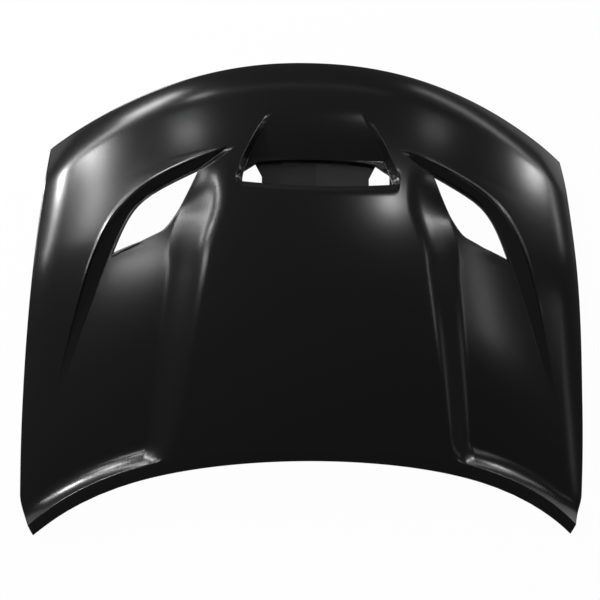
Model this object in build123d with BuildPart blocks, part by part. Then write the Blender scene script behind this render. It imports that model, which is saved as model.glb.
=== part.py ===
"""Complete car bonnet with a centre scoop and two heat vents, in millimetres.

Frame: +X to the right and +Y to the nose, seen from above, +Z up.
The origin lies under the middle of the panel, on the plane it rests on.
"""
import os
from math import hypot, sqrt

from build123d import *

# Plan outline
OVERALL_WIDTH = 1582.0      # widest point of the side edges, near the rear
NOSE_Y = 652.0              # front edge on the centre line
NOSE_SWEEP = 242.0          # how far the front corners lie behind the nose
NOSE_POWER = 2.13           # fullness of the front edge
CORNER_X = 723.0            # half width at the front corners
REAR_Y = -440.0             # rear edge on the centre line
REAR_SWEEP = 212.5          # how far the rear tips lie behind the centre
REAR_BOW = 131.0            # share of that sweep spread over the whole edge
TIP_X = 755.0               # half width at the rear tips
SIDE_TAPER = 67.0           # narrowing of the side edges towards the front
SIDE_STRAIGHT_Y = -500.0    # the side edges begin to taper here
BEND_Y = -545.0             # the side edges turn in to the tips here
TIP_CUT = 35.0              # how far they turn in
TIP_RUN = 103.0             # over this run

# Crown of the panel
CROWN = 214.7               # highest point of the plain crown
CROWN_Y = 80.0              # where along the centre line it lies
CROWN_RUN = 3760.0          # twice the radius of the centre line
SIDE_RISE = 74.2            # highest point of the side edges
SIDE_Y = -200.0
SIDE_RUN = 8200.0           # twice the radius of the side edges in side view
CROSS_POWER = 2.2           # fullness of the cross section
SIDE_ROLL = 10.0            # extra fall within SIDE_ROLL_RUN of the side edge
SIDE_ROLL_RUN = 70.0
NOSE_ROLL = 18.0            # extra fall within NOSE_ROLL_RUN of the front edge
NOSE_ROLL_RUN = 80.0
REAR_ROLL = 5.0             # extra fall within REAR_ROLL_RUN of the rear edge
REAR_ROLL_RUN = 40.0

# Side scallops that hold the vents
SCALLOP_DEPTH = 32.0
FLANK_TOP = 307.0           # half width of the raised centre at y = 0
FLANK_TOP_FRONT = 242.0     # the same ahead of the vents
FLANK_TURN_Y = 120.0        # it narrows from here
FLANK_TURN_RUN = 170.0      # over this run
FLANK_FOOT = 416.0          # foot of the flank at y = 0
FOOT_TURN_IN = 18.0         # the foot lies this much further in
FOOT_TURN_Y = 190.0         # where it turns to the scoop
FOOT_TURN_SOFT = 20.0       # rounding of that bend
WALL_FOOT = 602.0           # foot of the outer wall at y = 0
WALL_FOOT_FRONT = 206.0     # and where its front part passes WALL_FRONT_Y
WALL_FOOT_SOFT = 97.0       # rounding of the bend between them
CREASE = 665.0              # crest of the outer wall, in the same terms
CREASE_FRONT = 341.0
CREASE_SOFT = 340.0
WALL_FRONT_Y = 406.0
CREASE_TIP_X = 256.0        # front end of the crease
CREASE_TIP_Y = 408.0
STRIP = 38.0                # level strip along the rear edge
BAND = 64.0                 # hollow slope from that strip down to the scallop floor
FADE_FRONT_Y = 150.0        # the outer wall begins to fade here
FADE_RUN = 450.0            # and is gone after this run
DISH_FRONT_Y = 390.0        # the scallop starts here
DISH_RUN = 170.0            # and is at full depth after this run
GROOVE = 16.0               # width of the groove's inner side ahead of each vent
GROOVE_RUN = 100.0          # it is at full depth after this run

# Scoop in front of the raised centre
SCOOP_FRONT_Y = 517.0
SCOOP_FRONT_X = 131.0       # half width where the recess starts
SCOOP_LIP_X = 224.0         # half width at the corners of the lip
SCOOP_CORNER_Y = 319.0
SCOOP_DEPTH = 40.0
SCOOP_WALL = 16.0           # plan width of the side walls
FLOOR_END_Y = 382.0         # the recess floor ends here
LIP_Y = 302.0               # leading edge of the lip on the centre line
LIP_BOW = 9.0
LIP_HALF = 203.0            # the bow is measured at this half width
LIP_DROP = 9.0
LIP_RUN = 26.0
LIP_SIDE = 12.0             # the lip's fall ends this far beyond its corners
MOUTH_GAP = 8.0             # the recess starts this far ahead of the lip
MOUTH_RUN = 40.0

# Sheets
SKIN = 1.2
FRAME = 1.0
SEAM = 3.3                  # room for sealer between the skin and the frame's border
FRAME_INSET = 7.0           # the border stops this far inside the edge of the skin
FLANGE = 14.0               # width of the border
PAN_WALL = 60.0             # plan width of the wall from the border down to the pan
PAN_DEPTH = 62.0            # depth of the pan below the crown

# Openings
VENT_RIM = 4.0              # each vent stops this far inside the foot of its outer wall
VENT_FRONT_Y = 350.0        # its front tip
VENT_REAR_Y = 112.0         # its rear tip
VENT_EDGE = ((496.0, 136.0), (450.0, 159.0), (415.0, 177.0), (387.0, 210.0), (364.0, 248.0))
VENT_MARGIN = 12.0          # how much larger the hole in the frame is
MOUTH_BACK_Y = 262.0        # two holes of the frame under the ends of the scoop's mouth
MOUTH_FRONT_Y = 378.0
MOUTH_CORNER_Y = 365.0
MOUTH_X = 206.0             # their outer sides
TONGUE_X = 172.0            # half width of the tongue between them, at its root
TONGUE_TIP_X = 148.0
TONGUE_TIP_Y = 333.0
SLOT_X = 64.0               # slots of the tongue
SLOT_Y = 372.0
SLOT_W = 37.0
SLOT_L = 12.0
WINDOW_W = 140.0            # lightening windows of the pan
WINDOW_L = 120.0
WINDOW_CUT = 30.0           # cut corners of the windows
WINDOW_X = 260.0            # their pitches
WINDOW_Y = 190.0
WINDOW_CENTRE_Y = -110.0

# Fixing points
HINGE_INSET = 151.0         # from the widest point of the panel
HINGE_X = OVERALL_WIDTH / 2 - HINGE_INSET
HINGE_Y = -400.0
HINGE_PITCH = 70.0
LATCH_Y = 530.0
LATCH_PITCH = 60.0
BOLT_R = 4.2                # hole for an M8 bolt
PAD_W = 62.0                # flat pads pressed into the frame
PAD_L = 136.0
PAD_R = 10.0
PAD_DROP = 3.0
PAD_TALL = 60.0
PLATE = 2.0                 # reinforcing plates on the pads
PLATE_EDGE = 4.0
NUT_AF = 13.0
NUT_H = 6.5

# Mastic dabs between the frame's border and the skin
DAB = 22.0
DAB_INSET = 28.0
DAB_SIDE_Y = (-430.0, -220.0, 0.0, 210.0)
DAB_END_X = (-480.0, -240.0, 0.0, 240.0, 480.0)


def clamp(v):
    return min(1.0, max(0.0, v))


def ease(v):
    v = clamp(v)
    return v * v * (3 - 2 * v)


def mix(a, b, k):
    return a + (b - a) * k


def softmin(a, b, r):
    return (a + b - sqrt((a - b) ** 2 + r * r)) / 2


# Plan lines of one half; x and y are millimetres
def y_front(x):
    return NOSE_Y - NOSE_SWEEP * (abs(x) / CORNER_X) ** NOSE_POWER


def y_rear(x):
    k = abs(x) / TIP_X
    return REAR_Y - REAR_BOW * k ** 2 - (REAR_SWEEP - REAR_BOW) * k ** 5


def x_side(y):
    taper = SIDE_TAPER * (max(0.0, y - SIDE_STRAIGHT_Y) / (NOSE_Y - NOSE_SWEEP - SIDE_STRAIGHT_Y)) ** 2
    cut = TIP_CUT * (max(0.0, BEND_Y - y) / TIP_RUN) ** 1.6
    return OVERALL_WIDTH / 2 - taper - cut


def x_flank_top(y):
    return mix(FLANK_TOP - 0.158 * y, FLANK_TOP_FRONT, ease((y - FLANK_TURN_Y) / FLANK_TURN_RUN))


def x_flank_foot(y):
    turned = FLANK_FOOT - FOOT_TURN_IN - 0.506 * (y - FOOT_TURN_Y)
    return softmin(FLANK_FOOT - 0.105 * y, turned, FOOT_TURN_SOFT)


def x_wall_foot(y):
    """Foot of the outer wall; ahead of the vent it runs straight to the end of the crease."""
    beside = min(y, VENT_FRONT_Y)
    turned = WALL_FOOT_FRONT + 2.267 * (WALL_FRONT_Y - beside)
    bend = softmin(WALL_FOOT - 0.327 * beside, turned, WALL_FOOT_SOFT)
    return mix(bend, FLANK_TOP_FRONT, clamp((y - VENT_FRONT_Y) / (CREASE_TIP_Y - VENT_FRONT_Y)))


def x_crease(y):
    turned = CREASE_FRONT + 3.26 * (WALL_FRONT_Y - y)
    return softmin(CREASE - 0.187 * y, turned, CREASE_SOFT)


def x_scoop_edge(y):
    k = clamp((y - SCOOP_CORNER_Y) / (SCOOP_FRONT_Y - SCOOP_CORNER_Y))
    return mix(SCOOP_LIP_X, SCOOP_FRONT_X, k ** 1.35)


def y_lip(x):
    return LIP_Y + LIP_BOW * (x / LIP_HALF) ** 2


def edge_distances(x, y):
    """Distances from a point to the side, front and rear edges."""
    x = abs(x)
    side = x_side(y) - x
    slope = NOSE_POWER * NOSE_SWEEP / CORNER_X * (x / CORNER_X) ** (NOSE_POWER - 1)
    front = (y_front(x) - y) / hypot(1, slope)
    slope = (2 * REAR_BOW * (x / TIP_X) + 5 * (REAR_SWEEP - REAR_BOW) * (x / TIP_X) ** 4) / TIP_X
    rear = (y - y_rear(x)) / hypot(1, slope)
    return side, front, rear


def crown(x, y):
    centre = CROWN - (y - CROWN_Y) ** 2 / CROWN_RUN
    side = SIDE_RISE - (y - SIDE_Y) ** 2 / SIDE_RUN
    k = abs(x) / x_side(max(y, BEND_Y))
    return centre - (centre - side) * k ** CROSS_POWER


def scallop(x, y):
    """Depth of the side scallop below the crown."""
    foot = x_wall_foot(y)
    crease = x_crease(y)
    top = x_flank_top(y)
    inner = ease((x - top) / (x_flank_foot(y) - top))
    wall = clamp((crease - x) / (crease - foot))
    rear = 1 - clamp(1 - (y - y_rear(x) - STRIP) / BAND) ** 2
    soft = SCALLOP_DEPTH * ease((DISH_FRONT_Y - y) / DISH_RUN) * inner
    groove = SCALLOP_DEPTH * clamp((CREASE_TIP_Y - y) / GROOVE_RUN) ** 0.7 * clamp((x - foot) / GROOVE + 1)
    outer = SCALLOP_DEPTH * ease((FADE_FRONT_Y - y) / FADE_RUN) * inner
    return rear * mix(outer, max(soft, groove), wall)


def scoop_ramp(y):
    return clamp((SCOOP_FRONT_Y - y) / (SCOOP_FRONT_Y - FLOOR_END_Y)) ** 1.4


def scoop(x, y):
    """Depth of the scoop recess, and the fall of the lip behind it."""
    ahead = y - y_lip(x)
    mouth = ease((ahead - MOUTH_GAP) / MOUTH_RUN)
    recess = SCOOP_DEPTH * scoop_ramp(y) * mouth * clamp((x_scoop_edge(y) - x) / SCOOP_WALL)
    fall = LIP_DROP * clamp((ahead + LIP_RUN) / (LIP_RUN + MOUTH_GAP)) ** 2
    return recess + fall * (1 - mouth) * clamp((SCOOP_LIP_X + LIP_SIDE - x) / SCOOP_WALL)


def rolls(x, y):
    side, front, rear = edge_distances(x, y)
    fall = SIDE_ROLL * clamp(1 - side / SIDE_ROLL_RUN) ** 2
    fall += NOSE_ROLL * clamp(1 - front / NOSE_ROLL_RUN) ** 2
    return fall + REAR_ROLL * clamp(1 - rear / REAR_ROLL_RUN) ** 2


def skin_top(x, y):
    x = abs(x)
    return crown(x, y) - scallop(x, y) - scoop(x, y) - rolls(x, y)


def frame_top(x, y):
    """Upper face of the inner frame: a border under the skin and a dished pan inside it."""
    x = abs(x)
    border = crown(x, y) - scallop(x, y) - rolls(x, y) - SKIN - SEAM
    wall = min((distance - FRAME_INSET - FLANGE) / PAN_WALL for distance in edge_distances(x, y))
    return mix(border, crown(x, y) - PAN_DEPTH, clamp(wall))


# Rows of the grid, as shares of the way from the rear edge to the nose
LENGTH = NOSE_Y - REAR_Y
STRIP_ROW = STRIP / LENGTH
BAND_ROW = (STRIP + BAND) / LENGTH
LIP_ROW = (LIP_Y - REAR_Y) / LENGTH
FLOOR_ROW = (FLOOR_END_Y - REAR_Y) / LENGTH
TIP_ROW = (CREASE_TIP_Y - y_rear(CREASE_TIP_X)) / (y_front(CREASE_TIP_X) - y_rear(CREASE_TIP_X))
GROOVE_ROW = (FLOOR_ROW + TIP_ROW) / 2
INSET_ROW = FRAME_INSET / LENGTH
FLANGE_ROW = (FRAME_INSET + FLANGE) / LENGTH
PAN_ROW = (FRAME_INSET + FLANGE + PAN_WALL) / LENGTH


# Grid lines from the centre outwards and from the rear edge to the nose
def skin_lines(y, w):
    """Lines in order: scoop, flank, floor of the scallop, crease and the outer part."""
    side = x_side(y)
    top = x_flank_top(y)
    behind = mix(SCOOP_LIP_X, 0.72 * top, ease((SCOOP_CORNER_Y - y) / 200.0))
    edge = x_scoop_edge(y) if y > SCOOP_CORNER_Y else behind
    crease = min(max(x_crease(y), CREASE_TIP_X), side - 75)
    foot = min(x_wall_foot(y), crease - 20)
    flank = x_flank_foot(y)
    lines = [0.0, 0.5 * edge, edge - SCOOP_WALL, edge, top]
    lines += [mix(top, flank, k) for k in (0.35, 0.7, 1.0)]
    lines += [foot, crease, mix(crease, side - 30, 0.5)]
    if w > FLOOR_ROW:
        tip = clamp((w - FLOOR_ROW) / (TIP_ROW - FLOOR_ROW))
        fan = clamp((w - TIP_ROW) / (1 - TIP_ROW))
        for i in range(4, 10):
            meet = CREASE_TIP_X - 3.0 * (9 - i)
            lines[i] = mix(mix(FLOOR_LINES[i], meet, tip), 200.0 + 64.0 * (i - 4), fan)
        lines[10] = mix(lines[9], side - 30, 0.5)
    return lines + [side - 30, side]


def frame_lines(y, w):
    """Lines in order: the pan in four strips, its wall and the flat border."""
    side = x_side(y) - FRAME_INSET
    pan = side - FLANGE - PAN_WALL
    return [0.0, 0.32 * pan, 0.62 * pan, 0.84 * pan, pan, side - FLANGE, side]


def row_y(x, w):
    """Row at share w of the way from the rear edge to the nose; one follows the lip."""
    row = mix(y_rear(x), y_front(x), w)
    near = max(0.0, 1 - abs(w - LIP_ROW) / (FLOOR_ROW - LIP_ROW)) * ease((340.0 - abs(x)) / 100.0)
    return row + near * (y_lip(x) - mix(y_rear(x), y_front(x), LIP_ROW))


def solve(lines, index, w):
    """Crossing of one line with one row."""
    y = mix(REAR_Y, NOSE_Y, w)
    for _ in range(60):
        x = lines(y, w)[index]
        y = mix(y, row_y(x, w), 0.6)
    return x, y


def slopes(height, x, y):
    step = 0.04
    along = height(x + step, y) - height(x - step, y)
    across = height(x, y + step) - height(x, y - step)
    return along / (2 * step), across / (2 * step)


def sheet_point(lines, height, index, w, thickness, upright):
    """Points of the upper and the lower face on one grid line."""
    x, y = solve(lines, abs(index), w)
    x = x if index > 0 else -x
    z = height(x, y)
    along, across = (0.0, 0.0) if upright else slopes(height, x, y)
    k = thickness / sqrt(1 + along * along + across * across)
    return Vector(x, y, z), Vector(x + along * k, y + across * k, z - k)


def sheet_curves(lines, rows, height, index, thickness, upright):
    """Upper and lower curve of one line over one run of rows."""
    points = [sheet_point(lines, height, index, w, thickness, upright) for w in rows]
    trace = Edge.make_line if len(rows) == 2 else lambda *through: Edge.make_spline(through)
    return [trace(*face) for face in zip(*points)]


def sheet(lines, runs, height, thickness, upright=False, open_run=None, open_line=0):
    """Solid sheet over the grid, left open on one run within a pair of lines."""
    last = len(lines(0.0, 0.5)) - 1
    between = Face.make_surface_from_curves
    faces = []
    for number, rows in enumerate(runs):
        numbers = range(-last, last + 1)
        pairs = [sheet_curves(lines, rows, height, index, thickness, upright) for index in numbers]
        ends = [end for end, run in ((0, 0), (1, len(runs) - 1)) if number == run]
        faces += [between(*pairs[0]), between(*pairs[-1])]
        for i, (left, right) in enumerate(zip(pairs, pairs[1:])):
            inside = max(abs(i - last), abs(i + 1 - last)) <= open_line
            closed = list(ends)
            if number == open_run and inside:
                continue
            if open_run is not None and inside and number == open_run - 1:
                closed.append(1)
            if open_run is not None and inside and number == open_run + 1:
                closed.append(0)
            faces += [between(left[0], right[0]), between(left[1], right[1])]
            for end in closed:
                upper = Edge.make_line(left[0] @ end, right[0] @ end)
                lower = Edge.make_line(left[1] @ end, right[1] @ end)
                faces.append(between(upper, lower))
        if number == open_run:
            faces += [between(*pairs[last - open_line]), between(*pairs[last + open_line])]
    return Solid(Shell(faces))


FLOOR_LINES = [solve(skin_lines, index, FLOOR_ROW)[0] for index in range(13)]

skin_runs = [
    [0.0, STRIP_ROW],
    [mix(STRIP_ROW, BAND_ROW, k) for k in (0.0, 0.4, 1.0)],
    [mix(BAND_ROW, LIP_ROW, k) for k in (0.0, 0.2, 0.45, 0.7, 0.85, 0.955, 1.0)],
    [LIP_ROW, FLOOR_ROW],
    [FLOOR_ROW, GROOVE_ROW],
    [GROOVE_ROW, TIP_ROW],
    [mix(TIP_ROW, 1.0, k) for k in (0.0, 0.35, 0.66, 0.84, 1.0)],
]
frame_runs = [
    [INSET_ROW, FLANGE_ROW],
    [FLANGE_ROW, PAN_ROW],
    [mix(PAN_ROW, 1 - PAN_ROW, k) for k in (0.0, 0.12, 0.26, 0.4, 0.54, 0.68, 0.84, 1.0)],
    [1 - PAN_ROW, 1 - FLANGE_ROW],
    [1 - FLANGE_ROW, 1 - INSET_ROW],
]


def pad_level(x, y, width, length):
    """Height of a flat pad that lies just under the frame."""
    corners = [(x + i * width / 2, y + j * length / 2) for i in (-1, 1) for j in (-1, 1)]
    return min(frame_top(*corner) for corner in corners) - FRAME - PAD_DROP


HINGE_Z = pad_level(HINGE_X, HINGE_Y, PAD_W, PAD_L)
LATCH_Z = pad_level(0.0, LATCH_Y, PAD_L, PAD_W)
hinge_places = [(-HINGE_X, HINGE_Y), (HINGE_X, HINGE_Y)]
hinge_bolts = [(x, HINGE_Y + k * HINGE_PITCH / 2) for x in (-HINGE_X, HINGE_X) for k in (-1, 1)]
latch_bolts = [(k * LATCH_PITCH / 2, LATCH_Y) for k in (-1, 1)]


def vent_outlines(margin):
    """Both vents: the foot of the outer wall and a curved inner edge, moved out by a margin."""
    front = VENT_FRONT_Y + margin
    rear = VENT_REAR_Y - margin
    with BuildSketch() as vents:
        with BuildLine():
            shares = (0.0, 0.25, 0.5, 0.75, 1.0)
            rows = [mix(front, rear, k) for k in shares]
            foot = Spline([(x_wall_foot(y) - VENT_RIM + margin, y) for y in rows])
            Spline([foot @ 1] + [(x - margin, y - margin) for x, y in VENT_EDGE] + [foot @ 0])
        make_face()
        mirror(about=Plane.YZ)
    return vents.sketch


with BuildPart() as outer_skin:
    add(sheet(skin_lines, skin_runs, skin_top, SKIN, open_run=3, open_line=2))
    extrude(vent_outlines(0.0), amount=CROWN, mode=Mode.SUBTRACT)
outer_skin.part.label = "outer_skin"

with BuildSketch() as windows:
    with Locations((0.0, WINDOW_CENTRE_Y)):
        with GridLocations(WINDOW_X, WINDOW_Y, 4, 2):
            Rectangle(WINDOW_W, WINDOW_L)
    chamfer(windows.vertices(), length=WINDOW_CUT)

# Holes of the frame: vents, both ends of the scoop's mouth, slots and lightening windows
with BuildSketch() as frame_holes:
    add(vent_outlines(VENT_MARGIN))
    with BuildLine():
        side = [(MOUTH_X, MOUTH_BACK_Y), (MOUTH_X, MOUTH_CORNER_Y), (TONGUE_X, MOUTH_FRONT_Y)]
        side += [(TONGUE_TIP_X, TONGUE_TIP_Y), (TONGUE_TIP_X, MOUTH_BACK_Y)]
        Polyline(side, close=True)
    make_face()
    mirror(about=Plane.YZ)
    with Locations((-SLOT_X, SLOT_Y), (SLOT_X, SLOT_Y)):
        Rectangle(SLOT_W, SLOT_L)
    add(windows.sketch)

with BuildSketch(Plane.XY.offset(HINGE_Z)) as hinge_pads:
    with Locations(*hinge_places):
        RectangleRounded(PAD_W, PAD_L, PAD_R)
with BuildSketch(Plane.XY.offset(LATCH_Z)) as latch_pad:
    with Locations((0.0, LATCH_Y)):
        RectangleRounded(PAD_L, PAD_W, PAD_R)
with BuildSketch(Plane.XY.offset(HINGE_Z + FRAME)) as hinge_insides:
    with Locations(*hinge_places):
        RectangleRounded(PAD_W - 2 * FRAME, PAD_L - 2 * FRAME, PAD_R - FRAME)
with BuildSketch(Plane.XY.offset(LATCH_Z + FRAME)) as latch_inside:
    with Locations((0.0, LATCH_Y)):
        RectangleRounded(PAD_L - 2 * FRAME, PAD_W - 2 * FRAME, PAD_R - FRAME)
with BuildSketch() as bolt_holes:
    with Locations(*hinge_bolts, *latch_bolts):
        Circle(BOLT_R)

# Flat pads with walls that end inside the thickness of the frame
with BuildPart() as pads:
    extrude(hinge_pads.sketch, amount=PAD_TALL)
    extrude(latch_pad.sketch, amount=PAD_TALL)
    extrude(hinge_insides.sketch, amount=PAD_TALL, mode=Mode.SUBTRACT)
    extrude(latch_inside.sketch, amount=PAD_TALL, mode=Mode.SUBTRACT)
    above = sheet(
        frame_lines, frame_runs, lambda x, y: frame_top(x, y) + PAD_TALL, PAD_TALL + FRAME / 2, upright=True
    )
    add(above, mode=Mode.SUBTRACT)
    extrude(bolt_holes.sketch, amount=CROWN, mode=Mode.SUBTRACT)

with BuildPart() as inner_frame:
    add(sheet(frame_lines, frame_runs, frame_top, FRAME, upright=True))
    extrude(frame_holes.sketch, amount=CROWN, mode=Mode.SUBTRACT)
    extrude(hinge_insides.sketch, amount=PAD_TALL, mode=Mode.SUBTRACT)
    extrude(latch_inside.sketch, amount=PAD_TALL, mode=Mode.SUBTRACT)
    add(pads.part)
inner_frame.part.label = "inner_frame"


def plate(label, x, y, level, width, length, bolts):
    """Reinforcing plate on a pad, with its bolt holes."""
    with BuildSketch(Plane.XY.offset(level + FRAME)) as outline:
        with Locations((x, y)):
            Rectangle(width - 2 * PLATE_EDGE, length - 2 * PLATE_EDGE)
        chamfer(outline.vertices(), length=PAD_R)
        with Locations(*bolts):
            Circle(BOLT_R, mode=Mode.SUBTRACT)
    with BuildPart() as body:
        extrude(outline.sketch, amount=PLATE)
    body.part.label = label
    return body.part


hinge_plates = []
for side, (x, y) in zip(("left", "right"), hinge_places):
    bolts = [place for place in hinge_bolts if place[0] == x]
    hinge_plates.append(plate("hinge_plate_" + side, x, y, HINGE_Z, PAD_W, PAD_L, bolts))
latch_plate = plate("latch_plate", 0.0, LATCH_Y, LATCH_Z, PAD_L, PAD_W, latch_bolts)

# Hexagonal weld nuts on the plates
with BuildPart() as weld_nuts:
    for places, level in ((hinge_bolts, HINGE_Z), (latch_bolts, LATCH_Z)):
        with BuildSketch(Plane.XY.offset(level + FRAME + PLATE)):
            with Locations(*places):
                RegularPolygon(radius=NUT_AF / 2, side_count=6, major_radius=False)
                Circle(BOLT_R, mode=Mode.SUBTRACT)
        extrude(amount=NUT_H)
weld_nuts.part.label = "weld_nuts"

# Mastic dabs fill the space between the sheets
dab_places = [(i * (x_side(y) - DAB_INSET), y) for y in DAB_SIDE_Y for i in (-1, 1)]
dab_places += [(x, y_rear(x) + DAB_INSET) for x in DAB_END_X]
dab_places += [(x, y_front(x) - DAB_INSET) for x in DAB_END_X if x]
with BuildPart() as columns:
    for x, y in dab_places:
        with BuildSketch(Plane.XY.offset(frame_top(x, y) - FRAME / 2)):
            with Locations((x, y)):
                Rectangle(DAB, DAB)
        extrude(amount=skin_top(x, y) - frame_top(x, y))
    add(outer_skin.part, mode=Mode.SUBTRACT)
    add(inner_frame.part, mode=Mode.SUBTRACT)
with BuildPart() as mastic_dabs:
    add(columns.solids().sort_by(SortBy.VOLUME)[-len(dab_places):])
mastic_dabs.part.label = "mastic_dabs"

os.makedirs("parts", exist_ok=True)
for piece in [outer_skin.part, inner_frame.part, *hinge_plates, latch_plate, weld_nuts.part, mastic_dabs.part]:
    export_step(piece, "parts/" + piece.label + ".step")
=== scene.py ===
"""Car bonnet with a centre scoop and two vents: fine skin, finishes, studio and camera.

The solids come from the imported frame. The outer skin is made again here on a finer
grid, from the same plan lines and heights as the solid. The crease's step and bead,
a straighter flank beside each vent, the webs in the mouth's corners and the turned
edges are added to it. Lengths are millimetres until a vertex is placed, and metres
after that.
"""
from math import atan, cos, hypot, pi, sin, sqrt

import bmesh
import bpy
from mathutils import Matrix, Vector


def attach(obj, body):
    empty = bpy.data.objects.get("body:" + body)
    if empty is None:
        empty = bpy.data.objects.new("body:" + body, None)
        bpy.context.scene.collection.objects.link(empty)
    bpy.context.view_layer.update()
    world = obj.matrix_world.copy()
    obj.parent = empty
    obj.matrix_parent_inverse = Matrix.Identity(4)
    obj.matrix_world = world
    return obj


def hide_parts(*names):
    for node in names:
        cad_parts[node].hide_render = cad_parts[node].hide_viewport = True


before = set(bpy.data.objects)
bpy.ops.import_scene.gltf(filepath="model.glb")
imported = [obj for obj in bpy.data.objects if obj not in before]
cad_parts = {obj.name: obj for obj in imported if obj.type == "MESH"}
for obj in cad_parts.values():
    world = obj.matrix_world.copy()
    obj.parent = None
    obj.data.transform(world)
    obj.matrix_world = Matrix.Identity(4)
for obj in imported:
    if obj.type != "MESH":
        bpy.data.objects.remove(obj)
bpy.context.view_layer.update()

bl_info = {
    "name": "Car bonnet",
    "version": (1, 0, 0),
    "blender": (4, 5, 0),
    "location": "3D View > Sidebar > Bonnet",
    "description": "Builds the skin, finishes and studio of a scooped car bonnet",
    "category": "Object",
}

MM = 0.001

# Plan outline
OVERALL_WIDTH = 1582.0      # widest point of the side edges, near the rear
NOSE_Y = 652.0              # front edge on the centre line
NOSE_SWEEP = 242.0          # how far the front corners lie behind the nose
NOSE_POWER = 2.13           # fullness of the front edge
CORNER_X = 723.0            # half width at the front corners
REAR_Y = -440.0             # rear edge on the centre line
REAR_SWEEP = 212.5          # how far the rear tips lie behind the centre
REAR_BOW = 131.0            # share of that sweep spread over the whole edge
REAR_POWER = 5.0            # how far the rest of it is held back to the tips
TIP_X = 755.0               # half width at the rear tips
SIDE_TAPER = 67.0           # narrowing of the side edges towards the front
SIDE_STRAIGHT_Y = -500.0    # the side edges begin to taper here
BEND_Y = -545.0             # the side edges turn in to the tips here
TIP_CUT = 35.0              # how far they turn in
TIP_RUN = 103.0             # over this run
TIP_POWER = 1.6             # fullness of that turn

# Crown of the panel
CROWN = 214.7               # highest point of the plain crown
CROWN_Y = 80.0              # where along the centre line it lies
CROWN_RUN = 3760.0          # twice the radius of the centre line
SIDE_RISE = 74.2            # highest point of the side edges
SIDE_Y = -200.0
SIDE_RUN = 8200.0           # twice the radius of the side edges in side view
CROSS_POWER = 2.2           # fullness of the cross section
SIDE_ROLL = 10.0            # extra fall within SIDE_ROLL_RUN of the side edge
SIDE_ROLL_RUN = 70.0
NOSE_ROLL = 18.0            # extra fall within NOSE_ROLL_RUN of the front edge
NOSE_ROLL_RUN = 80.0
REAR_ROLL = 5.0             # extra fall within REAR_ROLL_RUN of the rear edge
REAR_ROLL_RUN = 40.0

# Side scallops that hold the vents
SCALLOP_DEPTH = 32.0
FLANK_TOP = 307.0           # half width of the raised centre at y = 0
FLANK_TOP_SLOPE = 0.158     # how fast it narrows towards the front
FLANK_TOP_FRONT = 242.0     # the same ahead of the vents
FLANK_TURN_Y = 120.0        # it narrows from here
FLANK_TURN_RUN = 170.0      # over this run
FLANK_FOOT = 416.0          # foot of the flank at y = 0
FLANK_FOOT_SLOPE = 0.105
FOOT_TURN_IN = 18.0         # the foot lies this much further in
FOOT_TURN_Y = 190.0         # where it turns to the scoop
FOOT_TURN_SLOPE = 0.506
FOOT_TURN_SOFT = 20.0       # rounding of that bend
WALL_FOOT = 602.0           # foot of the outer wall at y = 0
WALL_FOOT_SLOPE = 0.327
WALL_FOOT_FRONT = 206.0     # and where its front part passes WALL_FRONT_Y
WALL_TURN_SLOPE = 2.267
WALL_FOOT_SOFT = 97.0       # rounding of the bend between them
CREASE = 665.0              # crest of the outer wall, in the same terms
CREASE_SLOPE = 0.187
CREASE_FRONT = 341.0
CREASE_TURN_SLOPE = 3.26
CREASE_SOFT = 340.0
WALL_FRONT_Y = 406.0
CREASE_TIP_X = 256.0        # front end of the crease
CREASE_TIP_Y = 408.0
STRIP = 38.0                # level strip along the rear edge
BAND = 64.0                 # hollow slope from that strip down to the scallop floor
FADE_FRONT_Y = 150.0        # the outer wall begins to fade here
FADE_RUN = 450.0            # and is gone after this run
DISH_FRONT_Y = 390.0        # the scallop starts here
DISH_RUN = 170.0            # and is at full depth after this run
GROOVE = 16.0               # width of the groove's inner side ahead of each vent
GROOVE_RUN = 100.0          # it is at full depth after this run
GROOVE_POWER = 0.7          # fullness of its ramp
STEP_SHARE = 0.1            # share of the wall's width taken by the sharp step under the crease
STEP_FALL = 0.2             # share of its depth that the step falls
FLANK_ROUND = 0.4           # share of the flank's width that its rounded top takes beside the vent
FLANK_STRAIGHT = 0.7        # how far the flank takes that form there
FLANK_STRAIGHT_Y = 60.0     # it begins to do so here
FLANK_STRAIGHT_RUN = 120.0  # over this run
BEAD_RISE = 1.9             # raised bead along the crease
BEAD_HALF = 7.0             # half of its width
BEAD_FADE_Y = -60.0         # rear end of the bead
BEAD_FADE_RUN = 160.0       # length over which it comes up
BEAD_TIP_RUN = 20.0         # length over which it goes down at the front end of the crease

# Scoop in front of the raised centre
SCOOP_FRONT_Y = 517.0
SCOOP_FRONT_X = 131.0       # half width where the recess starts
SCOOP_LIP_X = 224.0         # half width at the corners of the lip
SCOOP_CORNER_Y = 319.0
SCOOP_EDGE_POWER = 1.35     # fullness of its side edges
SCOOP_DEPTH = 40.0
RAMP_POWER = 1.4            # hollowness of its floor
SCOOP_WALL = 16.0           # plan width of the side walls
FLOOR_END_Y = 382.0         # the recess floor ends here
LIP_Y = 302.0               # leading edge of the lip on the centre line
LIP_BOW = 9.0
LIP_HALF = 203.0            # the bow is measured at this half width
LIP_DROP = 9.0
LIP_RUN = 26.0
MOUTH_GAP = 8.0             # the recess starts this far ahead of the lip
MOUTH_RUN = 40.0
WEB_OUTER = (215.0, 336.0)  # line that cuts the front corners off the mouth
WEB_INNER = (167.0, 368.0)

# Open edges of the sheet
HEM_SPAN = 1000.0           # a rim wider than this is the hem
MOUTH_SPAN = 50.0           # one whose middle lies this near the centre line is the scoop's mouth
FLOOR_ROOM = 1.0            # turned edges stop this far above the floor
WELD = 0.05                 # vertices nearer than this become one
CUT_ROOM = 0.01             # vertices this near the web's line lie on it

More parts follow.
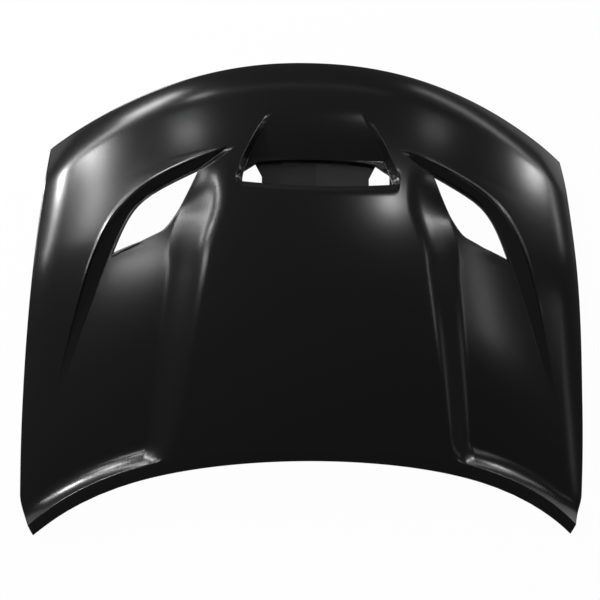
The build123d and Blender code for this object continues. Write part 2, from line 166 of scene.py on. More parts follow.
# Vent openings
VENT_RIM = 4.0              # each vent stops this far inside the foot of its outer wall
VENT_FRONT_Y = 350.0        # its front tip
VENT_REAR_Y = 112.0         # its rear tip
# Points of its inner edge between the tips
VENT_EDGE = ((496.0, 136.0), (450.0, 159.0), (415.0, 177.0), (387.0, 210.0), (364.0, 248.0))

# Level tabs that close the slots of the frame; the pan slopes there, so each tab crosses its sheet
PAN_DEPTH = 62.0            # depth of the pan below the crown
FRAME_SHEET = 1.0           # thickness of the frame
TAB_X = 64.0                # the slots' places
TAB_Y = 372.0
TAB_W = 56.0
TAB_L = 30.0
TAB_T = 1.2
TAB_GAP = 1.0               # they are set this far below the smooth form of the pan, whose facets lie lower
TAB_BEVEL = 0.4

# How rough each primer coat looks, and how far dust haze varies it
SKIN_ROUGHNESS = 0.2
FRAME_ROUGHNESS = 0.42
PLATE_ROUGHNESS = 0.45
TAB_ROUGHNESS = 0.5
HAZE = 0.02

# Camera, fitted to the photograph's outline
VIEW_PIXELS = 600.0
VIEW_FOCAL_PIXELS = 1497.9
VIEW_PLACE = (-508.1, -115.8, 4197.0)
VIEW_RIGHT = (0.99331, 0.01185, 0.11488)
VIEW_UP = (-0.01495, 0.99955, 0.02616)
SENSOR_WIDTH = 36.0
VIEW_REACH = 50.0           # metres

# Floor and surrounding light
FLOOR_HALF = 20.0           # metres
FLOOR_GLOW = 0.98           # share of plain white that the eye sees in the paper
AMBIENT = 0.085

# Studio lamps, in metres: name, place, target, direction of the long side, length, width and watts
SOFTBOXES = (
    ("left_bar", (-2.8, 1.5, 2.5), (-0.6, 0.28, 0.1), (0.0, 1.0, -0.3), 0.9, 0.25, 12.0),
    ("left_high", (-2.9, 1.97, 2.2), (-0.62, 0.4, 0.1), (0.0, 1.0, 0.0), 0.35, 0.35, 16.0),
    ("left_corner", (-3.54, 1.68, 1.57), (-0.69, 0.33, 0.1), (0.0, 1.0, 0.0), 0.3, 0.3, 36.0),
    ("left_side", (-2.66, 1.86, 1.4), (-0.3, 0.3, 0.1), (0.57, 0.82, 0.0), 3.0, 0.2, 30.0),
    ("left_nose", (-1.99, 3.0, 1.23), (-0.35, 0.37, 0.1), (0.85, 0.53, 0.0), 0.9, 0.25, 18.0),
    ("left_tip", (-1.29, 2.94, 2.02), (-0.26, 0.4, 0.1), (1.0, 0.0, 0.0), 0.25, 0.25, 3.0),
    ("left_dish", (-2.05, 0.6, 3.2), (-0.47, 0.1, 0.1), (1.0, 0.0, 0.45), 0.75, 0.2, 7.0),
    ("left_flank", (-2.13, 1.26, 2.96), (-0.29, 0.18, 0.2), (0.0, 1.0, 0.0), 0.2, 0.2, 7.0),
    ("left_front", (-1.5, 2.2, 2.95), (-0.36, 0.45, 0.1), (1.0, 0.0, 0.0), 0.4, 0.2, 3.2),
    ("right_near", (1.42, 1.29, 3.31), (0.2, 0.27, 0.2), (0.0, 1.0, 0.0), 0.25, 0.25, 8.0),
    ("right_front", (2.12, 2.22, 2.59), (0.33, 0.47, 0.1), (1.0, 0.0, 0.0), 0.4, 0.2, 1.0),
    ("right_corner", (3.5, 1.72, 1.6), (0.62, 0.37, 0.1), (0.0, 1.0, 0.0), 0.3, 0.3, 11.0),
    ("right_side", (2.66, 2.1, 0.95), (0.3, 0.3, 0.1), (-0.57, 0.82, 0.0), 3.0, 0.2, 10.0),
    ("right_dish", (2.65, 0.2, 2.8), (0.44, 0.1, 0.1), (0.0, 1.0, 0.0), 1.2, 0.25, 3.0),
    ("right_flank", (3.2, -0.6, 1.7), (0.4, -0.2, 0.1), (0.0, 1.0, 0.0), 1.2, 0.3, 0.9),
    ("front_bar", (0.0, 3.2, 2.5), (0.0, 0.58, 0.1), (1.0, 0.0, 0.0), 3.0, 0.5, 1.2),
    ("rear_low", (0.0, -4.2, 0.6), (0.0, 0.0, 0.1), (1.0, 0.0, 0.0), 5.0, 0.3, 10.0),
)


def clamp(v):
    return min(1.0, max(0.0, v))


def ease(v):
    v = clamp(v)
    return v * v * (3 - 2 * v)


def mix(a, b, k):
    return a + (b - a) * k


def softmin(a, b, r):
    return (a + b - sqrt((a - b) ** 2 + r * r)) / 2


def linear(code):
    """Linear colour of an sRGB hex code."""
    parts = [int(code[i:i + 2], 16) / 255 for i in (1, 3, 5)]
    return tuple(c / 12.92 if c <= 0.04045 else ((c + 0.055) / 1.055) ** 2.4 for c in parts)


# Plan lines of one half
def y_front(x):
    return NOSE_Y - NOSE_SWEEP * (abs(x) / CORNER_X) ** NOSE_POWER


def y_rear(x):
    k = abs(x) / TIP_X
    return REAR_Y - REAR_BOW * k ** 2 - (REAR_SWEEP - REAR_BOW) * k ** REAR_POWER


def x_side(y):
    taper = SIDE_TAPER * (max(0.0, y - SIDE_STRAIGHT_Y) / (NOSE_Y - NOSE_SWEEP - SIDE_STRAIGHT_Y)) ** 2
    cut = TIP_CUT * (max(0.0, BEND_Y - y) / TIP_RUN) ** TIP_POWER
    return OVERALL_WIDTH / 2 - taper - cut


def x_flank_top(y):
    return mix(FLANK_TOP - FLANK_TOP_SLOPE * y, FLANK_TOP_FRONT, ease((y - FLANK_TURN_Y) / FLANK_TURN_RUN))


def x_flank_foot(y):
    turned = FLANK_FOOT - FOOT_TURN_IN - FOOT_TURN_SLOPE * (y - FOOT_TURN_Y)
    return softmin(FLANK_FOOT - FLANK_FOOT_SLOPE * y, turned, FOOT_TURN_SOFT)


def x_wall_foot(y):
    """Foot of the outer wall; ahead of the vent it runs straight towards the end of the crease."""
    beside = min(y, VENT_FRONT_Y)
    turned = WALL_FOOT_FRONT + WALL_TURN_SLOPE * (WALL_FRONT_Y - beside)
    bend = softmin(WALL_FOOT - WALL_FOOT_SLOPE * beside, turned, WALL_FOOT_SOFT)
    return mix(bend, FLANK_TOP_FRONT, clamp((y - VENT_FRONT_Y) / (CREASE_TIP_Y - VENT_FRONT_Y)))


def x_crease(y):
    turned = CREASE_FRONT + CREASE_TURN_SLOPE * (WALL_FRONT_Y - y)
    return softmin(CREASE - CREASE_SLOPE * y, turned, CREASE_SOFT)


def slope_at(points, i):
    """Slope of a smooth line through some points, at one of them."""
    (x0, y0), (x1, y1) = points[max(i - 1, 0)], points[min(i + 1, len(points) - 1)]
    return (x1 - x0) / (y1 - y0)


def x_vent_edge(y):
    """Inner edge of a vent; beyond its tips the line opens to the width of the groove."""
    rim = x_wall_foot(y) - VENT_RIM
    past = max(VENT_REAR_Y - y, y - VENT_FRONT_Y)
    if past > 0:
        return rim - (GROOVE - VENT_RIM) * clamp(past / GROOVE)
    rear, front = [(x_wall_foot(tip) - VENT_RIM, tip) for tip in (VENT_REAR_Y, VENT_FRONT_Y)]
    points = [rear, *VENT_EDGE, front]
    i = max(k for k in range(len(points) - 1) if points[k][1] <= y)
    (x0, y0), (x1, y1) = points[i:i + 2]
    run = y1 - y0
    t = (y - y0) / run
    start = slope_at(points, i) * run - (x1 - x0)
    end = slope_at(points, i + 1) * run - (x1 - x0)
    return min(mix(x0, x1, t) + t * (1 - t) * ((1 - t) * start - t * end), rim)


def x_scoop_edge(y):
    k = clamp((y - SCOOP_CORNER_Y) / (SCOOP_FRONT_Y - SCOOP_CORNER_Y))
    return mix(SCOOP_LIP_X, SCOOP_FRONT_X, k ** SCOOP_EDGE_POWER)


def y_lip(x):
    return LIP_Y + LIP_BOW * (x / LIP_HALF) ** 2


def edge_distances(x, y):
    """Distances from a point to the side, front and rear edges."""
    side = x_side(y) - x
    slope = NOSE_POWER * NOSE_SWEEP / CORNER_X * (x / CORNER_X) ** (NOSE_POWER - 1)
    front = (y_front(x) - y) / hypot(1, slope)
    k = x / TIP_X
    slope = (2 * REAR_BOW * k + REAR_POWER * (REAR_SWEEP - REAR_BOW) * k ** (REAR_POWER - 1)) / TIP_X
    rear = (y - y_rear(x)) / hypot(1, slope)
    return side, front, rear


def crown(x, y):
    centre = CROWN - (y - CROWN_Y) ** 2 / CROWN_RUN
    side = SIDE_RISE - (y - SIDE_Y) ** 2 / SIDE_RUN
    k = x / x_side(max(y, BEND_Y))
    return centre - (centre - side) * k ** CROSS_POWER


def flank_profile(t, y):
    """Fall of the flank from its top to its foot; beside the vent it meets the foot without a run-out."""
    steep = 1 / (1 - FLANK_ROUND / 2)
    straight = steep * t * t / (2 * FLANK_ROUND) if t < FLANK_ROUND else steep * (t - FLANK_ROUND / 2)
    return mix(ease(t), straight, FLANK_STRAIGHT * ease((y - FLANK_STRAIGHT_Y) / FLANK_STRAIGHT_RUN))


def bead(x, y):
    """Height of the bead that runs along the crease to its front end."""
    slope = (x_crease(y + 1.0) - x_crease(y - 1.0)) / 2
    away = (x - x_crease(y)) / hypot(1, slope)
    rise = BEAD_RISE * ease((y - BEAD_FADE_Y) / BEAD_FADE_RUN) * ease((CREASE_TIP_Y - y) / BEAD_TIP_RUN)
    return rise * clamp(1 - (away / BEAD_HALF) ** 2) ** 2


def scallop(x, y):
    """Depth of the side scallop below the crown."""
    foot = x_wall_foot(y)
    crease = x_crease(y)
    top = x_flank_top(y)
    inner = flank_profile(clamp((x - top) / (x_flank_foot(y) - top)), y)
    down = clamp((crease - x) / (crease - foot))
    wall = mix(down, clamp(down / STEP_SHARE), STEP_FALL)
    rear = 1 - clamp(1 - (y - y_rear(x) - STRIP) / BAND) ** 2
    soft = SCALLOP_DEPTH * ease((DISH_FRONT_Y - y) / DISH_RUN) * inner
    ramp = clamp((CREASE_TIP_Y - y) / GROOVE_RUN) ** GROOVE_POWER
    groove = SCALLOP_DEPTH * ramp * clamp((x - foot) / GROOVE + 1)
    outer = SCALLOP_DEPTH * ease((FADE_FRONT_Y - y) / FADE_RUN) * inner
    return rear * mix(outer, max(soft, groove), wall)


def scoop(x, y):
    """Depth of the scoop recess, and the fall of the lip behind it."""
    ahead = y - y_lip(x)
    mouth = ease((ahead - MOUTH_GAP) / MOUTH_RUN)
    ramp = clamp((SCOOP_FRONT_Y - y) / (SCOOP_FRONT_Y - FLOOR_END_Y)) ** RAMP_POWER
    recess = SCOOP_DEPTH * ramp * mouth * clamp((x_scoop_edge(y) - x) / SCOOP_WALL)
    fall = LIP_DROP * clamp((ahead + LIP_RUN) / (LIP_RUN + MOUTH_GAP)) ** 2
    return recess + fall * (1 - mouth) * clamp((SCOOP_LIP_X - x) / SCOOP_WALL)


def rolls(x, y):
    side, front, rear = edge_distances(x, y)
    fall = SIDE_ROLL * clamp(1 - side / SIDE_ROLL_RUN) ** 2
    fall += NOSE_ROLL * clamp(1 - front / NOSE_ROLL_RUN) ** 2
    return fall + REAR_ROLL * clamp(1 - rear / REAR_ROLL_RUN) ** 2


def skin_top(x, y):
    return crown(x, y) + bead(x, y) - scallop(x, y) - scoop(x, y) - rolls(x, y)


# Rows of the grid, as shares of the way from the rear edge to the nose
LENGTH = NOSE_Y - REAR_Y


def row_share(x, y):
    return (y - y_rear(x)) / (y_front(x) - y_rear(x))


STRIP_ROW = STRIP / LENGTH
BAND_ROW = (STRIP + BAND) / LENGTH
VENT_REAR_ROW = row_share(x_wall_foot(VENT_REAR_Y) - VENT_RIM, VENT_REAR_Y)
LIP_ROW = (LIP_Y - REAR_Y) / LENGTH
FLOOR_ROW = (FLOOR_END_Y - REAR_Y) / LENGTH
VENT_FRONT_ROW = row_share(x_wall_foot(VENT_FRONT_Y) - VENT_RIM, VENT_FRONT_Y)
TIP_ROW = row_share(CREASE_TIP_X, CREASE_TIP_Y)

# Lines of the grid, counted from the centre
MOUTH_LINE = 2              # side of the scoop's mouth
TOP_LINE = 4                # top of the flank
VENT_LINE = 8               # inner edge of a vent
RIM_LINE = 9                # outer edge of a vent
SIDE_LINE = 16              # side edge of the panel

# Room between lines of the grid
BEHIND_SHARE = 0.72         # behind the scoop its edge lines run to this share of the flank's top
BEHIND_RUN = 200.0          # over this run
FLANK_SHARES = (0.35, 0.7, 1.0)
FLANK_ROOM = 6.0
VENT_ROOM = 3.0
WALL_ROOM = 10.0
CREST_ROOM = 17.5           # from the crease to the line beyond its bead
CREASE_MARGIN = 75.0        # least room from the crease to the side edge
CREST_MARGIN = 60.0
EDGE_MARGIN = 30.0          # from the last line to the side edge
FAN_START = 190.0           # places that the lines fan out to at the nose
FAN_STEP = 45.0
LIP_ROW_END = 340.0         # the row along the lip joins the others here
LIP_ROW_FADE = 100.0
SETTLE_STEPS = 40           # rounds that settle a place on its line and row
SETTLE_SHARE = 0.6
CROWDING = 0.75             # how far places crowd to the ends of a strip


def grid_lines(y, w, tip_lines):
    """Lines from the centre outwards: scoop, flank, vent, crease and the outer part."""
    side = x_side(y)
    top = x_flank_top(y)
    behind = mix(SCOOP_LIP_X, BEHIND_SHARE * top, ease((SCOOP_CORNER_Y - y) / BEHIND_RUN))
    edge = x_scoop_edge(y) if y > SCOOP_CORNER_Y else behind
    crease = min(max(x_crease(y), CREASE_TIP_X), side - CREASE_MARGIN)
    foot = min(x_wall_foot(y), crease - WALL_ROOM)
    vent = min(x_vent_edge(y), foot - VENT_RIM)
    if y < VENT_REAR_Y:
        vent = min(vent, foot - GROOVE * clamp((VENT_REAR_Y - y) / GROOVE) - VENT_RIM)
    flank = min(x_flank_foot(y), vent - VENT_ROOM)
    top = min(top, flank - FLANK_ROOM)
    lines = [0.0, 0.5 * edge, edge - SCOOP_WALL, edge, top]
    lines += [mix(top, flank, k) for k in FLANK_SHARES]
    crest = min(crease + CREST_ROOM, side - CREST_MARGIN)
    lines += [vent, foot - VENT_RIM, foot, mix(crease, foot, STEP_SHARE), crease]
    lines += [crest, mix(crest, side - EDGE_MARGIN, 0.5)]
    if tip_lines and w > TIP_ROW:
        fan = clamp((w - TIP_ROW) / (1 - TIP_ROW))
        for i in range(TOP_LINE, SIDE_LINE - 1):
            lines[i] = mix(tip_lines[i], FAN_START + FAN_STEP * (i - TOP_LINE), fan)
    return lines + [side - EDGE_MARGIN, side]


def row_y(x, w):
    """Row at share w of the way to the nose; those at the rear keep their distance, one follows the lip."""
    row = mix(y_rear(x), y_front(x), w)
    short = LENGTH - y_front(x) + y_rear(x)
    row += w * short * ease((VENT_REAR_ROW - w) / (VENT_REAR_ROW - BAND_ROW))
    near = max(0.0, 1 - abs(w - LIP_ROW) / (FLOOR_ROW - LIP_ROW)) * ease((LIP_ROW_END - x) / LIP_ROW_FADE)
    return row + near * (y_lip(x) - mix(y_rear(x), y_front(x), LIP_ROW))


def grid_point(line, w, tip_lines):
    """Plan position of a place between two lines on one row."""
    k = min(int(line), SIDE_LINE - 1)
    y = mix(REAR_Y, NOSE_Y, w)
    for _ in range(SETTLE_STEPS):
        lines = grid_lines(y, w, tip_lines)
        x = mix(lines[k], lines[k + 1], line - k)
        y = mix(y, row_y(x, w), SETTLE_SHARE)
    return x, y


def spread(count):
    """Shares from 0 to 1 that crowd towards both ends."""
    return [mix(i / count, (1 - cos(pi * i / count)) / 2, CROWDING) for i in range(count)]


# Numbers of faces between neighbouring lines, and along each run of rows
COLUMNS_PER_STRIP = (8, 9, 6, 6, 6, 6, 6, 6, 8, 3, 10, 5, 10, 8, 9, 6)
ROWS_PER_RUN = (
    (0.0, STRIP_ROW, 6),
    (STRIP_ROW, BAND_ROW, 12),
    (BAND_ROW, VENT_REAR_ROW, 46),
    (VENT_REAR_ROW, LIP_ROW, 16),
    (LIP_ROW, FLOOR_ROW, 14),
    (FLOOR_ROW, VENT_FRONT_ROW, 2),
    (VENT_FRONT_ROW, TIP_ROW, 16),
    (TIP_ROW, 1.0, 26),
)


def grid_columns():
    half = [k + share for k, count in enumerate(COLUMNS_PER_STRIP) for share in spread(count)]
    half.append(float(SIDE_LINE))
    return [-line for line in reversed(half[1:])] + half


def grid_rows():
    rows = [mix(start, end, share) for start, end, count in ROWS_PER_RUN for share in spread(count)]
    return rows + [1.0]


def node(tree, kind, links=(), **values):
    """Adds a node, sets its properties or inputs and links other sockets to it."""
    made = tree.nodes.new(kind)
    for name, value in values.items():
        if hasattr(made, name):
            setattr(made, name, value)
        else:
            made.inputs[name.replace("_", " ")].default_value = value
    for name, socket in links:
        tree.links.new(socket, made.inputs[name])
    return made


def new_material(name):
    material = bpy.data.materials.new(name)
    material.use_nodes = True
    material.node_tree.nodes.clear()
    return material, material.node_tree


def primer(name, code, roughness):
    """Black electro-coat primer: a thin dipped paint film, satin, with faint orange peel and dust haze."""
    material, tree = new_material(name)
    place = node(tree, "ShaderNodeTexCoord").outputs["Object"]
    peel_mm = 6.0
    peel = node(tree, "ShaderNodeTexNoise", [("Vector", place)], Scale=1000 / peel_mm, Detail=2.0)
    bump = node(tree, "ShaderNodeBump", [("Height", peel.outputs["Fac"])], Strength=0.02, Distance=0.0004)
    haze_mm = 180.0
    haze = node(tree, "ShaderNodeTexNoise", [("Vector", place)], Scale=1000 / haze_mm, Detail=3.0)
    rough = node(tree, "ShaderNodeMapRange", [("Value", haze.outputs["Fac"])])
    rough.inputs["To Min"].default_value = roughness - HAZE
    rough.inputs["To Max"].default_value = roughness + HAZE
    coat = node(tree, "ShaderNodeBsdfPrincipled",
                [("Roughness", rough.outputs["Result"]), ("Normal", bump.outputs["Normal"])], IOR=1.5)
    coat.inputs["Base Color"].default_value = (*linear(code), 1)
    node(tree, "ShaderNodeOutputMaterial", [("Surface", coat.outputs["BSDF"])])
    return material


def zinc(name, code):
    """Zinc-plated steel: a pale grey metal with a cloudy passivated film."""
    material, tree = new_material(name)
    place = node(tree, "ShaderNodeTexCoord").outputs["Object"]
    cloud_mm = 5.0
    cloud = node(tree, "ShaderNodeTexNoise", [("Vector", place)], Scale=1000 / cloud_mm, Detail=3.0)
    rough = node(tree, "ShaderNodeMapRange", [("Value", cloud.outputs["Fac"])])
    rough.inputs["To Min"].default_value = 0.28
    rough.inputs["To Max"].default_value = 0.5
    metal = node(tree, "ShaderNodeBsdfPrincipled", [("Roughness", rough.outputs["Result"])], Metallic=1.0)
    metal.inputs["Base Color"].default_value = (*linear(code), 1)
    node(tree, "ShaderNodeOutputMaterial", [("Surface", metal.outputs["BSDF"])])
    return material


def mastic(name, code):
    """Cured anti-flutter mastic: a dull grey rubbery paste with a lumpy surface."""
    material, tree = new_material(name)
    place = node(tree, "ShaderNodeTexCoord").outputs["Object"]
    lump_mm = 4.0
    lump = node(tree, "ShaderNodeTexNoise", [("Vector", place)], Scale=1000 / lump_mm, Detail=2.0)
    bump = node(tree, "ShaderNodeBump", [("Height", lump.outputs["Fac"])], Strength=0.3, Distance=0.001)
    paste = node(tree, "ShaderNodeBsdfPrincipled", [("Normal", bump.outputs["Normal"])], Roughness=0.75)
    paste.inputs["Base Color"].default_value = (*linear(code), 1)
    node(tree, "ShaderNodeOutputMaterial", [("Surface", paste.outputs["BSDF"])])
    return material


def paper(name, code, glow):
    """Matt white backdrop paper that shows as plain white with a trace of the shadow."""
    material, tree = new_material(name)
    rays = node(tree, "ShaderNodeLightPath").outputs
    seen = node(tree, "ShaderNodeMath", [(0, rays["Is Camera Ray"]), (1, rays["Is Glossy Ray"])],
                operation="MAXIMUM")
    through = node(tree, "ShaderNodeMath", [(0, seen.outputs[0]), (1, rays["Is Transmission Ray"])],
                   operation="MAXIMUM")
    share = node(tree, "ShaderNodeMath", [(0, through.outputs[0])], operation="MULTIPLY")
    share.inputs[1].default_value = glow
    place = node(tree, "ShaderNodeTexCoord").outputs["Object"]
    grain_mm = 30.0
    grain = node(tree, "ShaderNodeTexNoise", [("Vector", place)], Scale=1000 / grain_mm)
    bump = node(tree, "ShaderNodeBump", [("Height", grain.outputs["Fac"])], Strength=0.02, Distance=0.001)
    matt = node(tree, "ShaderNodeBsdfDiffuse", [("Normal", bump.outputs["Normal"])])
    matt.inputs["Color"].default_value = (*linear(code), 1)
    white = node(tree, "ShaderNodeEmission", Strength=1.0)
    both = node(tree, "ShaderNodeMixShader",
                [(0, share.outputs[0]), (1, matt.outputs[0]), (2, white.outputs[0])])
    node(tree, "ShaderNodeOutputMaterial", [("Surface", both.outputs[0])])
    return material


class BonnetSettings(bpy.types.PropertyGroup):
    """Sizes and colours of the dressed bonnet."""

    skin_thickness: bpy.props.FloatProperty(
        name="Skin thickness", description="Thickness of the outer sheet", default=0.0012, unit="LENGTH")
    hem_radius: bpy.props.FloatProperty(
        name="Hem radius", description="Rounding of the folded outer edge", default=0.0016, unit="LENGTH")
    hem_depth: bpy.props.FloatProperty(
        name="Hem depth", description="How far the folded edge turns down", default=0.002, unit="LENGTH")
    lip_radius: bpy.props.FloatProperty(
        name="Lip radius", description="Rounding of the scoop's lip and floor end",
        default=0.003, unit="LENGTH")
    lip_depth: bpy.props.FloatProperty(
        name="Lip depth", description="How far the scoop's lip turns down", default=0.008, unit="LENGTH")
    vent_radius: bpy.props.FloatProperty(
        name="Vent radius", description="Rounding of the vents' edges", default=0.004, unit="LENGTH")
    vent_depth: bpy.props.FloatProperty(
        name="Vent depth", description="How far the vents' edges turn down", default=0.006, unit="LENGTH")
    skin_colour: bpy.props.StringProperty(
        name="Skin colour", description="Primer on the outer skin, as sRGB hex", default="#161617")
    frame_colour: bpy.props.StringProperty(
        name="Frame colour", description="Primer on the inner frame, as sRGB hex", default="#161617")
    nut_colour: bpy.props.StringProperty(
        name="Nut colour", description="Zinc plating of the weld nuts, as sRGB hex", default="#b9bab6")
    mastic_colour: bpy.props.StringProperty(
        name="Mastic colour", description="Cured mastic, as sRGB hex", default="#6f6d68")
    floor_colour: bpy.props.StringProperty(
        name="Floor colour", description="Backdrop paper, as sRGB hex", default="#f4f4f4")


def settings():
    return bpy.context.scene.bonnet


def dress(name, material):
    """Gives a solid of the frame its finish."""
    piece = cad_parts[name]
    piece.data.materials.clear()
    piece.data.materials.append(material)
    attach(piece, "root")


def edge_loops(edges):
    """Groups boundary edges into connected sets."""
    left = set(edges)
    groups = []
    while left:
        group = {left.pop()}
        queue = list(group)
        while queue:
            edge = queue.pop()
            near = {e for vertex in edge.verts for e in vertex.link_edges if e in left}
            left -= near
            group |= near
            queue += near
        groups.append(list(group))
    return groups


def without_corners(bm, mouth, side):
    """Splits the mouth's faces of one side along the corner's web and gives those that are cut out."""
    start = Vector((side * WEB_OUTER[0], WEB_OUTER[1], 0)) * MM
    end = Vector((side * WEB_INNER[0], WEB_INNER[1], 0)) * MM
    inward = (end - start).cross(Vector((0, 0, -side)))
    faces = [face for face in mouth if face.calc_center_median().x * side > 0]
    edges = {edge for face in faces for edge in face.edges}
    corners = {vertex for face in faces for vertex in face.verts}
    split = bmesh.ops.bisect_plane(
        bm, geom=[*faces, *edges, *corners], dist=CUT_ROOM * MM, plane_co=start, plane_no=inward)["geom"]
    pieces = [item for item in split if isinstance(item, bmesh.types.BMFace)]
    return [face for face in pieces if (face.calc_center_median() - start).dot(inward) > 0]


def turn_down(bm, edges, radius, depth):
    """Rolls an open edge of the sheet over and down, in three steps of a quarter round and a flange."""
    outward = {}
    for edge in edges:
        face = edge.link_faces[0]
        middle = (edge.verts[0].co + edge.verts[1].co) / 2
        along = (edge.verts[1].co - edge.verts[0].co).normalized()
        out = along.cross(Vector((0, 0, 1)))
        if out.dot(face.calc_center_median() - middle) > 0:
            out = -out
        for vertex in edge.verts:
            outward[vertex] = outward.get(vertex, Vector()) + out
    start = {vertex: (vertex.co.copy(), way.normalized()) for vertex, way in outward.items()}
    steps = [(radius * sin(pi * k / 6), radius * (1 - cos(pi * k / 6))) for k in (1, 2, 3)]
    steps.append((radius, radius + depth))
    source = {vertex: vertex for vertex in start}
    for across, down in steps:
        made = bmesh.ops.extrude_edge_only(bm, edges=edges)["geom"]
        edges = [item for item in made if isinstance(item, bmesh.types.BMEdge)]
        fresh = [item for item in made if isinstance(item, bmesh.types.BMVert)]
        edges = [edge for edge in edges if all(vertex in fresh for vertex in edge.verts)]
        following = {}
        for vertex in fresh:
            origin = min(source, key=lambda old: (old.co - vertex.co).length_squared)
            following[vertex] = source[origin]
        for vertex, first in following.items():
            place, way = start[first]
            vertex.co = place + way * across - Vector((0, 0, min(down, place.z - FLOOR_ROOM * MM)))
        source = following


def lay_grid(bm):
    """Lays the grid over the whole panel and gives the faces of the mouth and of the vents."""
    columns = grid_columns()
    rows = grid_rows()
    tip_lines = [grid_point(float(i), TIP_ROW, None)[0] for i in range(SIDE_LINE)]
    bmesh.ops.create_grid(bm, x_segments=len(columns) - 1, y_segments=len(rows) - 1, size=0.5)
    key_of = {}
    plan = {}
    for vertex in bm.verts:
        column = columns[round((vertex.co.x + 0.5) * (len(columns) - 1))]
        key = (abs(column), rows[round((vertex.co.y + 0.5) * (len(rows) - 1))])
        key_of[vertex] = key
        if key not in plan:
            x, y = grid_point(*key, tip_lines)
            plan[key] = (x, y, skin_top(x, y))
        x, y, z = plan[key]
        vertex.co = Vector((x if column > 0 else -x, y, z)) * MM
    mouth = []
    vents = []
    for face in bm.faces:
        line = sum(key_of[vertex][0] for vertex in face.verts) / 4
        row = sum(key_of[vertex][1] for vertex in face.verts) / 4
        if line < MOUTH_LINE and LIP_ROW < row < FLOOR_ROW:
            mouth.append(face)
        if VENT_LINE < line < RIM_LINE and VENT_REAR_ROW < row < VENT_FRONT_ROW:
            vents.append(face)
    if not mouth or not vents:
        raise RuntimeError("the openings of the skin were not found")
    return mouth, vents


def turn_rims(bm, sizes):
    """Turns the open edges of the sheet down: the hem, the scoop's mouth and the vents."""
    for rim in edge_loops([edge for edge in bm.edges if edge.is_boundary]):
        places = [edge.verts[0].co.x for edge in rim]
        if max(places) - min(places) > HEM_SPAN * MM:
            turn_down(bm, rim, sizes.hem_radius, sizes.hem_depth)
        elif abs(sum(places) / len(places)) < MOUTH_SPAN * MM:
            turn_down(bm, rim, sizes.lip_radius, sizes.lip_depth)
        else:
            turn_down(bm, rim, sizes.vent_radius, sizes.vent_depth)


class BONNET_OT_skin(bpy.types.Operator):
    """Builds the outer skin with its scoop, vents, creases and turned edges"""

    bl_idname = "bonnet.skin"
    bl_label = "Outer skin"

    def execute(self, context):
        sizes = settings()
        bm = bmesh.new()
        mouth, vents = lay_grid(bm)
        mouth = without_corners(bm, mouth, -1) + without_corners(bm, mouth, 1)
        bmesh.ops.delete(bm, geom=mouth + vents, context="FACES")
        bmesh.ops.remove_doubles(bm, verts=bm.verts, dist=WELD * MM)
        turn_rims(bm, sizes)
        bmesh.ops.recalc_face_normals(bm, faces=bm.faces)
        highest = max(bm.faces, key=lambda face: face.calc_center_median().z)
        if highest.normal.z < 0:
            bmesh.ops.reverse_faces(bm, faces=bm.faces)
        for face in bm.faces:
            face.smooth = True
        mesh = bpy.data.meshes.new("fine_skin")
        bm.to_mesh(mesh)
        bm.free()
        piece = bpy.data.objects.new("fine_skin", mesh)
        context.scene.collection.objects.link(piece)
        wall = piece.modifiers.new("sheet", "SOLIDIFY")
        wall.thickness = sizes.skin_thickness
        wall.offset = -1.0
        piece.data.materials.append(primer("Satin e-coat primer on skin", sizes.skin_colour, SKIN_ROUGHNESS))
        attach(piece, "root")
        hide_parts("outer_skin")
        return {"FINISHED"}


class BONNET_OT_frame(bpy.types.Operator):
    """Finishes the pressed inner frame"""

    bl_idname = "bonnet.frame"
    bl_label = "Inner frame"

    def execute(self, context):
        coat = primer("Satin e-coat primer on frame", settings().frame_colour, FRAME_ROUGHNESS)
        dress("inner_frame", coat)
        return {"FINISHED"}


class BONNET_OT_tabs(bpy.types.Operator):
    """Builds the two small level tabs that close the slots of the frame"""

    bl_idname = "bonnet.tabs"
    bl_label = "Slot tabs"

    def execute(self, context):
        bm = bmesh.new()
        for side in (-1, 1):
            under = crown(TAB_X, TAB_Y) - PAN_DEPTH - FRAME_SHEET - TAB_GAP
            shape = Matrix.Diagonal((TAB_W * MM, TAB_L * MM, TAB_T * MM, 1))
            place = Matrix.Translation(Vector((side * TAB_X, TAB_Y, under - TAB_T / 2)) * MM)
            made = bmesh.ops.create_cube(bm, size=1.0, matrix=place @ shape)["verts"]
            edges = {edge for vertex in made for edge in vertex.link_edges}
            bmesh.ops.bevel(bm, geom=list(edges), offset=TAB_BEVEL * MM, segments=2, affect="EDGES")
        mesh = bpy.data.meshes.new("slot_tabs")
        bm.to_mesh(mesh)
        bm.free()
        piece = bpy.data.objects.new("slot_tabs", mesh)
        context.scene.collection.objects.link(piece)
        coat = primer("Satin e-coat primer on tabs", settings().frame_colour, TAB_ROUGHNESS)
        piece.data.materials.append(coat)
        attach(piece, "root")
        return {"FINISHED"}


class BONNET_OT_plates(bpy.types.Operator):
    """Finishes the hinge and latch plates"""

    bl_idname = "bonnet.plates"
    bl_label = "Hinge and latch plates"

    def execute(self, context):
        coat = primer("Satin e-coat primer on plates", settings().frame_colour, PLATE_ROUGHNESS)
        for name in ("hinge_plate_left", "hinge_plate_right", "latch_plate"):
            dress(name, coat)
        return {"FINISHED"}


class BONNET_OT_fixings(bpy.types.Operator):
    """Finishes the weld nuts and the mastic dabs"""

    bl_idname = "bonnet.fixings"
    bl_label = "Weld nuts and mastic"

    def execute(self, context):
        dress("weld_nuts", zinc("Zinc-plated weld nuts", settings().nut_colour))
        dress("mastic_dabs", mastic("Cured mastic", settings().mastic_colour))
        return {"FINISHED"}


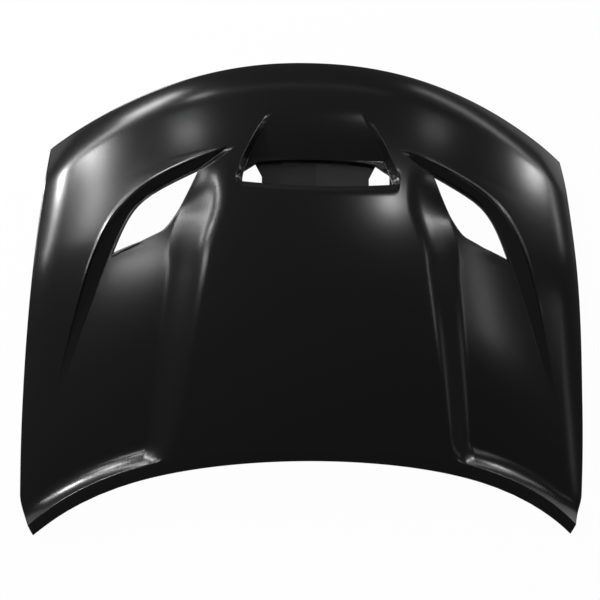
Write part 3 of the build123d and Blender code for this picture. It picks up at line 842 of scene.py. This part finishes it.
def softbox(name, place, target, along, length, width, power):
    """Area lamp at a place in metres that faces a target, with its long side in a given direction."""
    lamp = bpy.data.lights.new(name, "AREA")
    lamp.shape = "RECTANGLE"
    lamp.size = length
    lamp.size_y = width
    lamp.energy = power
    stand = bpy.data.objects.new(name, lamp)
    back = (Vector(place) - Vector(target)).normalized()
    across = back.cross(Vector(along)).normalized()
    turn = Matrix((across.cross(back), across, back)).transposed().to_4x4()
    stand.matrix_world = Matrix.Translation(place) @ turn
    bpy.context.scene.collection.objects.link(stand)


class BONNET_OT_stage(bpy.types.Operator):
    """Sets up the floor, the studio light and the camera"""

    bl_idname = "bonnet.stage"
    bl_label = "Studio"

    def execute(self, context):
        scene = context.scene
        scene.view_settings.view_transform = "Standard"
        mesh = bpy.data.meshes.new("floor")
        bm = bmesh.new()
        bmesh.ops.create_grid(bm, x_segments=1, y_segments=1, size=FLOOR_HALF)
        bm.to_mesh(mesh)
        bm.free()
        floor = bpy.data.objects.new("floor", mesh)
        floor.data.materials.append(paper("White backdrop paper", settings().floor_colour, FLOOR_GLOW))
        scene.collection.objects.link(floor)

        world = bpy.data.worlds.new("studio")
        world.use_nodes = True
        world.node_tree.nodes["Background"].inputs["Color"].default_value = (1, 1, 1, 1)
        world.node_tree.nodes["Background"].inputs["Strength"].default_value = AMBIENT
        scene.world = world
        for lamp in SOFTBOXES:
            softbox(*lamp)

        lens = bpy.data.cameras.new("camera")
        lens.sensor_width = SENSOR_WIDTH
        lens.angle = 2 * atan(VIEW_PIXELS / 2 / VIEW_FOCAL_PIXELS)
        lens.clip_end = VIEW_REACH
        camera = bpy.data.objects.new("camera", lens)
        right = Vector(VIEW_RIGHT)
        up = Vector(VIEW_UP)
        back = right.cross(up)
        turn = Matrix((right, up, back)).transposed().to_4x4()
        camera.matrix_world = Matrix.Translation(Vector(VIEW_PLACE) * MM) @ turn
        scene.collection.objects.link(camera)
        scene.camera = camera
        return {"FINISHED"}


class BONNET_PT_panel(bpy.types.Panel):
    """Lists the pieces of the bonnet and their settings"""

    bl_label = "Bonnet"
    bl_idname = "BONNET_PT_panel"
    bl_space_type = "VIEW_3D"
    bl_region_type = "UI"
    bl_category = "Bonnet"

    def draw(self, context):
        for operator in OPERATORS:
            self.layout.operator(operator.bl_idname)
        for name in BonnetSettings.__annotations__:
            self.layout.prop(context.scene.bonnet, name)


OPERATORS = (
    BONNET_OT_skin,
    BONNET_OT_frame,
    BONNET_OT_tabs,
    BONNET_OT_plates,
    BONNET_OT_fixings,
    BONNET_OT_stage,
)
CLASSES = (BonnetSettings, *OPERATORS, BONNET_PT_panel)


def register():
    for item in CLASSES:
        bpy.utils.register_class(item)
    bpy.types.Scene.bonnet = bpy.props.PointerProperty(type=BonnetSettings)


def unregister():
    del bpy.types.Scene.bonnet
    for item in reversed(CLASSES):
        bpy.utils.unregister_class(item)


def main():
    register()
    bpy.ops.bonnet.skin()
    bpy.ops.bonnet.frame()
    bpy.ops.bonnet.tabs()
    bpy.ops.bonnet.plates()
    bpy.ops.bonnet.fixings()
    bpy.ops.bonnet.stage()


if __name__ == "__main__":
    main()
